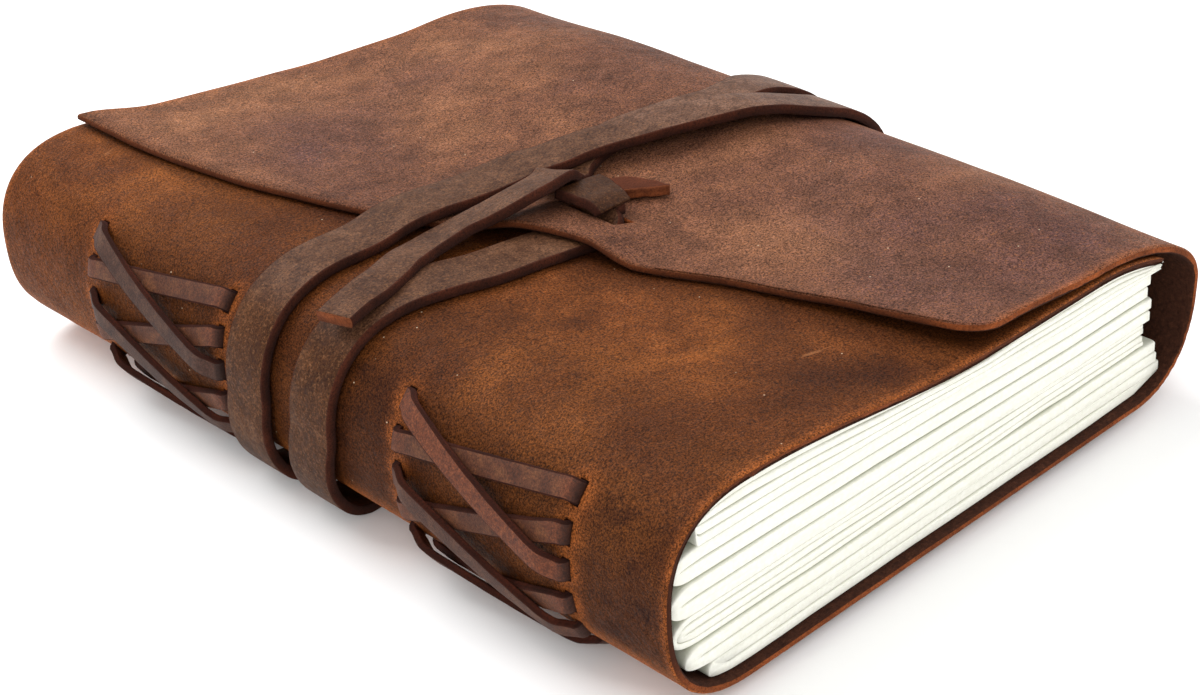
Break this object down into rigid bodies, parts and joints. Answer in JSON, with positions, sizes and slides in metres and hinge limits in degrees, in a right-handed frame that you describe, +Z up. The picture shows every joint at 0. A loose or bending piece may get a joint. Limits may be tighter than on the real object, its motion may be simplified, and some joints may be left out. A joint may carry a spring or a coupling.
{
  "type": "leather notebook",
  "caption": "Closed leather journal with deckled pages, laced spine, a curved flap and a wrap strap wound round it.",
  "frame": {"origin": "middle of the footprint, on the table under the strap", "axes": "+X from the spine to the fore-edge, +Y from the tail to the head of the book, +Z up through the closed book"},
  "size_m": [0.1383, 0.18, 0.0456],
  "materials": {
    "cover_leather": "oiled pull-up leather, warm brown with fine tan grain, raw cut edges",
    "paper": "uncoated off-white paper with deckled edges",
    "lace_leather": "narrow soft leather lace with dark red-brown cut edges",
    "strap_leather": "smooth grey-brown leather with raw dark red-brown cut edges"
  },
  "bodies": {
    "root": {"leather_cover": "cover_leather", "page_block": "paper", "lace_head": "lace_leather", "lace_tail": "lace_leather", "wrap_strap": "strap_leather"}
  },
  "joints": []
}
